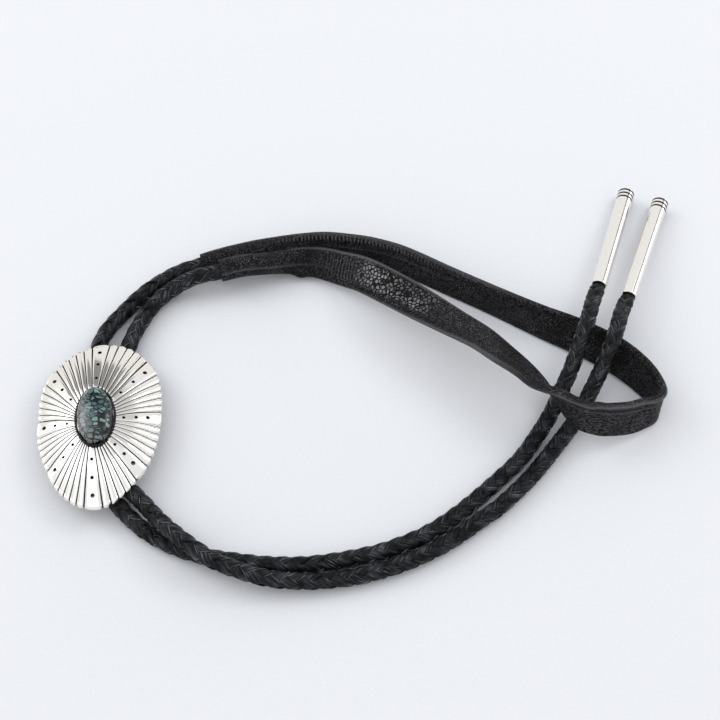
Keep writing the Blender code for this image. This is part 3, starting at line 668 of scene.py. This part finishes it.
concho = {
    "middle": (-87.25, -34.5), "halfWidth": 20.2, "halfLength": 30.6, "rimLow": 7.15,
    "thickness": 1.3, "rise": 4.3, "domePower": 1.6,
    "grooveFoot": 0.25, "grooveRim": 0.75, "notch": 0.6,
    # the rolled rim: how far in and down, that share less in a groove, and its rings
    "rollIn": 0.9, "rollDown": 0.7, "grooveRoll": 0.8, "rollRings": 4,
    "narrowFlutes": 5, "faceRings": 40, "undersideRings": (1.0, 0.8, 0.55, 0.3, 0.0),
    # where the rays lie across a flute: close together beside its grooves
    "wideRays": (0.0, 0.02, 0.055, 0.12, 0.22, 0.36, 0.5, 0.64, 0.78, 0.88, 0.945, 0.98),
    "narrowRays": (0.0, 0.05, 0.1, 0.17, 0.27, 0.38, 0.5, 0.62, 0.73, 0.83, 0.9, 0.95),
    "sulphurWidth": 0.15,         # how far the dark spreads from a groove's bottom
    "crown": 0.12,                # share of the groove's depth that the flute's arch takes
    # how steeply each rises out of its groove: higher is flatter on top
    "petalArch": 5.0, "fluteArch": 2.2, "grooveWall": 14,
    # half a flute's width, as a share of its turn in radians times the half length
    "halfFlute": 0.42,
    "petals": (
        # rim from, rim to, reach from, reach to, foot from, foot to, holes
        (-2.4, 14.1, 0.985, 1.0, -11.0, 5.0, 0.89), (47.6, 60.6, 1.075, 1.06, 45.5, 58.5, 1.0),
        (88.3, 99.5, 1.01, 1.01, 90.0, 100.0, 1.0), (127.7, 141.6, 1.072, 1.09, 141.5, 156.5, 1.0),
        (177.0, 195.5, 1.0, 1.0, 191.5, 208.5, 1.0),
        (228.6, 240.6, 0.955, 0.975, 231.5, 244.5, 1.0),
        (265.5, 277.1, 1.0, 1.01, 264.0, 274.0, 1.0),
        (303.4, 317.4, 0.955, 0.975, 295.5, 308.5, 0.91)),
    # share of the way to the rim, hole width as a share of the half width
    "holes": ((0.80, 0.068), (0.52, 0.056), (0.22, 0.050)),
    "drillSides": 20, "drillDepth": 5}

stone = {"halfWidth": 5.65, "halfLength": 10.2, "height": 3.6, "girdle": 1.3, "tilt": 5.0,
         "offset": (-0.7, -0.1), "gap": 0.3, "bevel": 0.1, "domeSteps": 18, "turnSteps": 72}
bezel = {"wall": 0.32, "height": 1.0, "teeth": 48, "toothDepth": 0.5, "stepsPerTooth": 8}


def ovalPoint(angle, halfWidth, halfLength):
    x, y = cos(radians(angle)), sin(radians(angle))
    radius = 1 / np.hypot(x / halfWidth, y / halfLength)
    return Vector((radius * x, radius * y, 0.0))


def bezelPoint(angle, grow):
    point = ovalPoint(angle - stone["tilt"], stone["halfWidth"] + grow, stone["halfLength"] + grow)
    point.rotate(Euler((0.0, 0.0, radians(stone["tilt"]))))
    return Vector((*concho["middle"], 0.0)) + Vector((*stone["offset"], 0.0)) + point


# Each flute once round the rim: its two edges and where its rays lie between them
def flutes():
    found = []
    petals = concho["petals"]
    count = concho["narrowFlutes"]
    for index, (rimA, rimB, reachA, reachB, footA, footB, holes) in enumerate(petals):
        found.append(((rimA, reachA, footA), (rimB, reachB, footB), concho["wideRays"]))
        following = petals[(index + 1) % len(petals)]
        turn = 360.0 if index == len(petals) - 1 else 0.0
        start = np.array((rimB, reachB, footB))
        end = np.array((following[0] + turn, following[2], following[4] + turn))
        for narrow in range(count):
            found.append((mix(start, end, narrow / count), mix(start, end, (narrow + 1) / count),
                          concho["narrowRays"]))
    return found


# Rays from the bezel out: foot angle, rim, height in the groove, mm from it at foot and rim
def rays():
    lines = []
    for start, end, shares in flutes():
        halfRim = radians(end[0] - start[0]) * concho["halfLength"] * concho["halfFlute"]
        halfFoot = radians(end[2] - start[2]) * stone["halfLength"] * concho["halfFlute"]
        power = concho["petalArch"] if shares is concho["wideRays"] else concho["fluteArch"]
        for share in shares:
            angle, reach, footAngle = mix(np.array(start), np.array(end), share)
            inward = 1 - abs(2 * share - 1)
            arch = 1 - (1 - inward) ** power
            height = mix(1 - (1 - inward) ** concho["grooveWall"], arch, concho["crown"])
            rim = ovalPoint(angle, concho["halfWidth"], concho["halfLength"]) * reach
            rim -= rim.normalized() * concho["notch"] * (1 - arch)
            lines.append((footAngle, Vector((*concho["middle"], 0.0)) + rim, height,
                          inward * halfFoot, inward * halfRim))
    return lines


# 0 in a groove's sulphur, 1 on clear silver
def rubbedClean(line, share):
    return 1 - hump(mix(line[3], line[4], share), 0.0, concho["sulphurWidth"])


def facePoint(line, share, inset=0.0):
    footAngle, rim, height = line[:3]
    foot = bezelPoint(footAngle, stone["gap"] + bezel["wall"])
    inner = rim + (foot - rim).normalized() * inset
    point = foot.lerp(inner, share)
    rise = concho["rise"] * (1 - share ** concho["domePower"])
    groove = mix(concho["grooveFoot"], concho["grooveRim"], share) * (1 - height)
    point.z = concho["rimLow"] + concho["thickness"] + rise - groove
    return point


def buildConcho(silver, darkened):
    lines = rays()
    lines.append(lines[0])
    top = concho["rimLow"] + concho["thickness"]
    bezelFoot = top + concho["rise"]
    rows, cleaned, shares = [], [], []

    def addRow(points, share):
        rows.append([tuple(point * mm) for point in points])
        cleaned.append([rubbedClean(line, share) for line in lines])
        shares.append([share] * len(lines))

    inner = [bezelPoint(line[0], stone["gap"]) for line in lines]
    addRow([Vector((p.x, p.y, bezelFoot)) for p in inner], 0.0)
    for step in range(concho["faceRings"] + 1):
        share = step / concho["faceRings"]
        addRow([facePoint(line, share, concho["rollIn"]) for line in lines], share)
    for step in range(1, concho["rollRings"] + 1):
        angle = pi / 2 * step / concho["rollRings"]
        points = []
        for line in lines:
            inset = facePoint(line, 1.0, concho["rollIn"])
            point = inset.lerp(line[1], sin(angle))
            roll = 1 if line[2] else concho["grooveRoll"]
            point.z = inset.z - concho["rollDown"] * (1 - cos(angle)) * roll
            points.append(point)
        addRow(points, 1.0)
    addRow([Vector((line[1].x, line[1].y, concho["rimLow"])) for line in lines], 1.0)
    for share in concho["undersideRings"]:
        points = []
        for line in lines:
            point = facePoint(line, share, concho["rollIn"] + concho["thickness"])
            point.z = concho["rimLow"] + concho["rise"] * (1 - share ** concho["domePower"])
            points.append(point)
        addRow(points, share)
    bm = bmesh.new()
    shapedGrid(bm, np.array(rows), np.array(cleaned), np.array(shares))
    closeUp(bm)
    plate = addPiece("concho_plate", bm, silver, 45)

    drills = bmesh.new()
    for wide, petal in zip(flutes()[::concho["narrowFlutes"] + 1], concho["petals"]):
        angle, reach, footAngle = mix(np.array(wide[0]), np.array(wide[1]), 0.5)
        rim = ovalPoint(angle, concho["halfWidth"], concho["halfLength"]) * reach
        line = (footAngle, Vector((*concho["middle"], 0.0)) + rim, 1.0)
        for share, width in concho["holes"]:
            radius = width * concho["halfWidth"] / 2 * mm
            made = bmesh.ops.create_cone(drills, cap_ends=True, segments=concho["drillSides"],
                                         radius1=radius, radius2=radius,
                                         depth=concho["drillDepth"] * mm)
            bmesh.ops.translate(drills, verts=made["verts"],
                                vec=facePoint(line, share * petal[-1]) * mm)
    cutter = addPiece("petal_drills", drills, darkened)
    boolean = plate.modifiers.new("holes", "BOOLEAN")
    boolean.operation = "DIFFERENCE"
    boolean.object = cutter
    boolean.solver = "EXACT"
    boolean.material_mode = "TRANSFER"
    applied = bpy.data.meshes.new_from_object(
        plate.evaluated_get(bpy.context.evaluated_depsgraph_get()))
    plate.modifiers.clear()
    plate.data = applied
    applied.name = "concho_plate"
    applied.set_sharp_from_angle(angle=radians(45))
    bpy.data.objects.remove(cutter, do_unlink=True)

    bm = bmesh.new()
    count = bezel["teeth"] * bezel["stepsPerTooth"]
    turns = np.linspace(0.0, 360.0, count + 1)
    profile = (  # grow, height, how much the teeth show
        (0.0, -0.2, 0.0), (0.02, bezel["height"] - 0.12, 0.0), (0.1, bezel["height"], 0.0),
        (bezel["wall"] - 0.15, bezel["height"], 0.1), (bezel["wall"], bezel["height"] - 0.2, 0.5),
        (bezel["wall"], bezel["height"] * 0.5, 1.0), (bezel["wall"], 0.05, 1.0),
        (bezel["wall"] + 0.1, -0.25, 1.0))
    rows = []
    for grow, height, tooth in profile:
        row = []
        for index, turn in enumerate(turns):
            wave = abs(2 * (index % bezel["stepsPerTooth"]) / bezel["stepsPerTooth"] - 1)
            point = bezelPoint(turn, stone["gap"] + grow + tooth * bezel["toothDepth"] * wave)
            row.append((point.x * mm, point.y * mm, (bezelFoot + height) * mm))
        rows.append(row)
    rows.append(rows[0])
    shapedGrid(bm, np.array(rows))
    closeUp(bm)
    collar = addPiece("bezel_collar", bm, darkened, 30)
    for piece in (plate, collar):
        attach(piece, "root")
    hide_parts("concho")
    print("concho built")


# A cabochon turned round, then stretched to its oval
def buildStone(material):
    bm = bmesh.new()
    dome = stone["height"] - stone["girdle"]
    profile = [(stone["halfWidth"] * cos(angle), stone["girdle"] + dome * sin(angle))
               for angle in np.linspace(pi / 2, 0.0, stone["domeSteps"])]
    profile += [(stone["halfWidth"], stone["bevel"]),
                (stone["halfWidth"] - stone["bevel"], 0.0), (0.0, 0.0)]
    spun(bm, profile, stone["turnSteps"])
    bmesh.ops.scale(bm, verts=bm.verts, vec=(1.0, stone["halfLength"] / stone["halfWidth"], 1.0))
    turn = Euler((0.0, 0.0, radians(stone["tilt"]))).to_matrix()
    bmesh.ops.rotate(bm, verts=bm.verts, cent=(0, 0, 0), matrix=turn)
    foot = concho["rimLow"] + concho["thickness"] + concho["rise"] + stone["gap"]
    middle = Vector((*concho["middle"], foot)) + Vector((*stone["offset"], 0.0))
    bmesh.ops.translate(bm, verts=bm.verts, vec=middle * mm)
    piece = addPiece("turquoise_stone", bm, material, 60)
    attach(piece, "root")
    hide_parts("stone")
    print("stone built")


# Spider-web turquoise, waxed and polished: grey-green cells in a black net
def turquoiseMatrix():
    material, tree, shader = newMaterial("spiderweb_turquoise",
                                         {"Roughness": 0.2, "IOR": 1.6, "Specular IOR Level": 0.4})
    where = addNode(tree, "TexCoord")
    centre = (concho["middle"][0] + stone["offset"][0], concho["middle"][1] + stone["offset"][1])
    # seen from above, in millimetres from the stone's middle
    local = addNode(tree, "Mapping",
                    {"Location": (-centre[0], -centre[1], -14.0), "Scale": (1000.0,) * 3},
                    {"Vector": where.outputs["Object"]})
    bend = addNode(tree, "TexNoise", {"Scale": 0.55, "Detail": 3.0}, {"Vector": local})
    warped = addNode(tree, "VectorMath", {"operation": "MULTIPLY_ADD", 1: (1.6,) * 3},
                     {0: bend.outputs["Color"], 2: local})
    squeezed = addNode(tree, "Mapping", {"Scale": (0.48, 0.72, 0.3)}, {"Vector": warped})
    # cells about 2.1 by 1.4 mm
    net = addNode(tree, "TexVoronoi", {"Scale": 1.0, "feature": "DISTANCE_TO_EDGE"},
                  {"Vector": squeezed})
    cells = addNode(tree, "TexVoronoi", {"Scale": 1.0}, {"Vector": squeezed})
    pick = addNode(tree, "SeparateColor", links={"Color": cells.outputs["Color"]})
    body = addNode(tree, "ValToRGB",
                   {"stops": [(0.0, "#24393f"), (0.3, "#3f6367"), (0.6, "#5a8081"),
                              (0.85, "#80a092"), (1.0, "#4c6872")]},
                   {"Fac": pick.outputs["Red"]})
    place = addNode(tree, "SeparateXYZ", links={"Vector": local})
    drift = addNode(tree, "TexNoise", {"Scale": 0.3, "Detail": 2.0}, {"Vector": local})
    # mauve towards the lower left: partly clay in the stone, partly painted reflection of the left
    # light's haze
    side = addNode(tree, "Math", {"operation": "MULTIPLY_ADD", 1: -0.14, 2: -0.42},
                   {0: place.outputs["X"]})
    lower = addNode(tree, "Math", {"operation": "MULTIPLY_ADD", 1: -0.05},
                    {0: place.outputs["Y"], 2: side})
    mauve = addNode(tree, "Math", {"operation": "ADD", "use_clamp": True}, {0: lower, 1: drift})
    tinted = addNode(tree, "Mix", {"data_type": "RGBA", "B": linearColour("#85807f")},
                     {"Factor": mauve, "A": body})
    # the net runs thick and black in patches 5 mm apart; its leaning right of the middle is
    # painted shade, the patches themselves matrix
    patches = addNode(tree, "TexNoise", {"Scale": 0.2, "Detail": 1.0}, {"Vector": local})
    rightward = addNode(tree, "Math", {"operation": "MULTIPLY_ADD", 1: 0.03},
                        {0: place.outputs["X"], 2: patches})
    core = addNode(tree, "MapRange",
                   {"From Min": 0.42, "From Max": 0.62, "To Min": 0.025, "To Max": 0.13},
                   {"Value": rightward})
    inside = addNode(tree, "Math", {"operation": "SUBTRACT"}, {0: net, 1: core})
    lines = addNode(tree, "MapRange", {"From Max": 0.05}, {"Value": inside})
    colour = addNode(tree, "Mix", {"data_type": "RGBA", "A": linearColour("#070b0c")},
                     {"Factor": lines, "B": tinted})
    connect(tree, shader, {"Base Color": colour})
    return material


# Tips

tips = {
    "length": 48.3, "mouthDiameter": 5.3, "endDiameter": 5.9, "wall": 0.5, "gap": 0.3,
    "grooves": 3, "groovePitch": 1.75, "grooveDepth": 0.25, "grooveHalfWidth": 0.38,
    # the first groove's place in pitches from the end, and how much of a groove is flat
    "firstGroove": 0.42, "grooveFlat": 0.75,
    "belowGrooves": 2.0,          # a ring that keeps the barrel straight under the grooves
    "corner": 0.25, "cornerSteps": 6, "mouthBevel": 0.12, "boreBevel": 0.1, "steps": 48}


def buildTip(side, material):
    route, heading = cords[side + "Route"], cords["tipHeading"][side]
    end, mouth = tips["endDiameter"] / 2, tips["mouthDiameter"] / 2
    length, corner = tips["length"], tips["corner"]

    def radius(height):
        return mix(mouth, end, height / length)

    profile = [(0.0, length)]         # radius, height
    for angle in np.linspace(0.0, pi / 2, tips["cornerSteps"]):
        profile.append((end - corner * (1 - sin(angle)), length - corner * (1 - cos(angle))))
    for groove in range(tips["grooves"]):
        low = length - tips["groovePitch"] * (groove + tips["firstGroove"])
        half = tips["grooveHalfWidth"]
        profile += [(radius(low), low + half),
                    (radius(low) - tips["grooveDepth"], low + half * tips["grooveFlat"]),
                    (radius(low) - tips["grooveDepth"], low - half * tips["grooveFlat"]),
                    (radius(low), low - half)]
    boreEnd = length - tips["groovePitch"] * (tips["grooves"] + 1)
    bore, bevel, boreBevel = mouth - tips["wall"], tips["mouthBevel"], tips["boreBevel"]
    low -= tips["belowGrooves"]
    profile += [(radius(low), low), (mouth, bevel), (mouth - bevel, 0.0),
                (bore + boreBevel, 0.0), (bore, boreBevel),
                (radius(boreEnd) - tips["wall"], boreEnd), (0.0, boreEnd)]
    bm = bmesh.new()
    uvLayer = bm.loops.layers.uv.new("UVMap")
    spun(bm, profile, tips["steps"])
    # the grooves' faces, which lie inside the barrel's skin, are dark, and all others clear
    for face in bm.faces:
        middle = face.calc_center_median() / mm
        dark = middle.z > boreEnd and np.hypot(middle.x, middle.y) < radius(middle.z) - 0.05
        for loop in face.loops:
            loop[uvLayer].uv = (0.0 if dark and middle.z < length - 0.1 else 1.0, 0.5)
    last = Vector(route[-1])
    slope = asin((last.z - end) / (length + tips["gap"]))
    ahead = Vector((sin(radians(heading)) * cos(slope), cos(radians(heading)) * cos(slope),
                    -sin(slope)))
    turn = Euler((pi / 2 + slope, 0.0, pi - radians(heading))).to_matrix()
    bmesh.ops.rotate(bm, verts=bm.verts, cent=(0, 0, 0), matrix=turn)
    bmesh.ops.translate(bm, verts=bm.verts, vec=(last + ahead * tips["gap"]) * mm)
    tip = addPiece("tip_" + side + "_silver", bm, material, 40)
    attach(tip, "root")
    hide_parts("tip_" + side)
    return tip


# Sterling silver, buffed: warm white mirror, its grooves left dark by liver of sulphur
def polishedSilver():
    material, tree, shader = newMaterial("polished_sterling_silver",
                                         {"Metallic": 1.0, "Roughness": 0.11})
    lie = addNode(tree, "UVMap", {"uv_map": "UVMap"})
    where = addNode(tree, "TexCoord")
    parts = addNode(tree, "SeparateXYZ", links={"Vector": lie})
    colour = addNode(tree, "ValToRGB",
                     {"stops": [(0.0, "#0a0909"), (0.45, "#1d1b1a"), (0.8, "#f3f1ed")]},
                     {"Fac": parts.outputs["X"]})
    # faint buffing marks, 0.5 mm apart
    marks = addNode(tree, "TexNoise", {"Scale": 2000.0, "Detail": 2.0},
                    {"Vector": where.outputs["Object"]})
    bump = addNode(tree, "Bump", {"Strength": 0.04, "Distance": 0.0001}, {"Height": marks})
    connect(tree, shader, {"Base Color": colour, "Normal": bump})
    return material


# Silver blackened with liver of sulphur, a little brighter in patches about 1 mm apart
def oxidisedSilver():
    material, tree, shader = newMaterial("oxidised_silver", {"Metallic": 0.5, "Roughness": 0.45})
    where = addNode(tree, "TexCoord")
    patches = addNode(tree, "TexNoise", {"Scale": 900.0}, {"Vector": where.outputs["Object"]})
    colour = addNode(tree, "ValToRGB", {"stops": [(0.35, "#050505"), (0.75, "#1f1d1b")]},
                     {"Fac": patches})
    connect(tree, shader, {"Base Color": colour})
    return material


# Stamped nickel silver: a yellowish grey sheet with fine drawn lines 0.4 mm apart
def nickelSilver():
    material, tree, shader = newMaterial("stamped_nickel_silver",
                                         {"Metallic": 1.0, "Base Color": "#b9b5ab"})
    where = addNode(tree, "TexCoord")
    drawn = addNode(tree, "Mapping", {"Scale": (2500.0, 60.0, 2500.0)},
                    {"Vector": where.outputs["Object"]})
    lines = addNode(tree, "TexNoise", {"Scale": 1.0, "Detail": 3.0}, {"Vector": drawn})
    gloss = addNode(tree, "MapRange", {"To Min": 0.25, "To Max": 0.45}, {"Value": lines})
    connect(tree, shader, {"Roughness": gloss})
    return material


# Table and light

studio = {
    "table": ("#e0e2e6", "#e3e5e9"), "tableSize": 6.0,       # metres
    # the tent round the table: height of the direction, then its colour there
    "tent": ((0.0, "#f5f2ee"), (0.45, "#f7f5f2"), (0.7, "#f5f6f8"), (1.0, "#f5f7fa")),
    "tentStrength": 0.99,
    # brighter cloth that the silver mirrors: direction, full and faded width, how bright
    "glows": (((-0.5, 0.45, 0.74), 0.2, 0.5, 1.35), ((-0.2, 0.0, 0.98), 0.2, 0.5, 1.35)),
    # the dark gap between two cloths on the right, which the tips mirror as a thin dark line:
    # its directions' lowest and highest z and least x, and how bright
    "seam": {"low": 0.352, "high": 0.46, "right": 0.5, "bright": 0.0},
    "flagsHeight": 12.0,          # mm above the table of the point that the flags stand round
    # grey flags round the concho, seen by reflections alone, which shade its upper petals: how
    # far off in metres, direction, long side's direction, length and width in metres, how bright
    "flags": ((0.35, (-0.19, 0.78, 0.6), (0.9, -0.1, 0.42), 0.22, 0.14, 0.28),
              (0.36, (0.2, 0.52, 0.83), (1.0, 0.0, -0.3), 0.17, 0.17, 0.66)),
    # place and aim in metres, width and depth in metres, watts, colour
    "panels": (
        ((0.68, 0.38, 0.77), (0.0, 0.0, 0.0), (0.42, 0.42), 1.8, "#fbfcff"),
        ((-0.82, 0.33, 0.65), (0.0, 0.0, 0.0), (0.5, 0.5), 2.2, "#fbfcff"),
        ((0.93, 0.63, 0.2), (0.05, 0.0, 0.0), (0.5, 0.34), 0.9, "#fdfcfa"))}


def buildStudio():
    bm = bmesh.new()
    bmesh.ops.create_grid(bm, x_segments=1, y_segments=1, size=studio["tableSize"] / 2)
    # uncoated white card: a soft even white with faint fibres, 1 mm apart
    material, tree, shader = newMaterial("matt_white_card",
                                         {"Roughness": 0.9, "Specular IOR Level": 0.2})
    where = addNode(tree, "TexCoord")
    fibre = addNode(tree, "TexNoise", {"Scale": 1000.0, "Detail": 2.0},
                    {"Vector": where.outputs["Object"]})
    tone = addNode(tree, "ValToRGB",
                   {"stops": [(0.3, studio["table"][0]), (0.7, studio["table"][1])]},
                   {"Fac": fibre})
    connect(tree, shader, {"Base Color": tone})
    table = addPiece("table", bm, material)
    bpy.context.scene.view_settings.view_transform = "Standard"   # hard whites, as the photo
    world = bpy.context.scene.world or bpy.data.worlds.new("studio")
    bpy.context.scene.world = world
    world.use_nodes = True
    tree = world.node_tree
    sky = tree.nodes["Background"]
    outward = addNode(tree, "TexCoord")
    parts = addNode(tree, "SeparateXYZ", links={"Vector": outward.outputs["Generated"]})
    light = addNode(tree, "ValToRGB", {"stops": studio["tent"]}, {"Fac": parts.outputs["Z"]})
    for direction, full, faded, bright in studio["glows"]:
        off = addNode(tree, "VectorMath", {"operation": "DISTANCE", 1: direction},
                      {0: outward.outputs["Generated"]})
        glow = addNode(tree, "MapRange",
                       {"interpolation_type": "SMOOTHSTEP", "From Min": full, "From Max": faded,
                        "To Min": bright}, {"Value": off})
        light = shadedBy(tree, light, glow)
    seam = studio["seam"]
    tests = (("GREATER_THAN", seam["low"], "Z"), ("LESS_THAN", seam["high"], "Z"),
             ("GREATER_THAN", seam["right"], "X"))
    inside = [addNode(tree, "Math", {"operation": operation, 1: limit},
                      {0: parts.outputs[axis]})
              for operation, limit, axis in tests]
    band = addNode(tree, "Math", {"operation": "MULTIPLY"}, {0: inside[0], 1: inside[1]})
    sewn = addNode(tree, "Math", {"operation": "MULTIPLY"}, {0: band, 1: inside[2]})
    dark = addNode(tree, "MapRange", {"To Min": 1.0, "To Max": seam["bright"]}, {"Value": sewn})
    connect(tree, sky, {"Color": shadedBy(tree, light, dark)})
    sky.inputs["Strength"].default_value = studio["tentStrength"]
    for index, (place, aim, size, watts, colour) in enumerate(studio["panels"]):
        data = bpy.data.lights.new("panel_" + str(index), "AREA")
        data.shape = "RECTANGLE"
        data.size, data.size_y = size
        data.energy = watts
        data.color = linearColour(colour)[:3]
        lamp = bpy.data.objects.new(data.name, data)
        lamp.location = place
        lamp.rotation_euler = (Vector(aim) - Vector(place)).to_track_quat("-Z", "Y").to_euler()
        bpy.context.scene.collection.objects.link(lamp)
    for index, (far, direction, longSide, length, width, bright) in enumerate(studio["flags"]):
        ahead = Vector(direction).normalized()
        side = (Vector(longSide) - ahead * ahead.dot(Vector(longSide))).normalized()
        up = ahead.cross(side)
        bm = bmesh.new()
        made = bmesh.ops.create_grid(bm, x_segments=1, y_segments=1, size=0.5)
        for vert in made["verts"]:
            vert.co = (Vector((*concho["middle"], studio["flagsHeight"])) * mm + ahead * far
                       + side * vert.co.x * length + up * vert.co.y * width)
        # unlit felt, an even grey in every light
        cloth = newMaterial("grey_felt_flag", {
            "Base Color": (0.0, 0.0, 0.0, 1.0), "Specular IOR Level": 0.0,
            "Emission Color": (bright, bright, bright, 1.0), "Emission Strength": 1.0})[0]
        flag = addPiece("flag_" + str(index), bm, cloth)
        flag.visible_camera = flag.visible_diffuse = flag.visible_shadow = False
    print("table and light set")


def shadedBy(tree, light, share):
    return addNode(tree, "VectorMath", {"operation": "SCALE"}, {0: light, "Scale": share})


addCamera()
silver = polishedSilver()
oxide = oxidisedSilver()
leftTip = buildTip("left", silver)
rightTip = buildTip("right", silver)
laceLeather = lacedLeather()
buildCord("left", laceLeather)
buildCord("right", laceLeather)
buildStrap(strapLeather())
buildConcho(silver, oxide)
buildStone(turquoiseMatrix())
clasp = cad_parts["back_clasp"]
clasp.data.materials.clear()
clasp.data.materials.append(nickelSilver())
buildStudio()
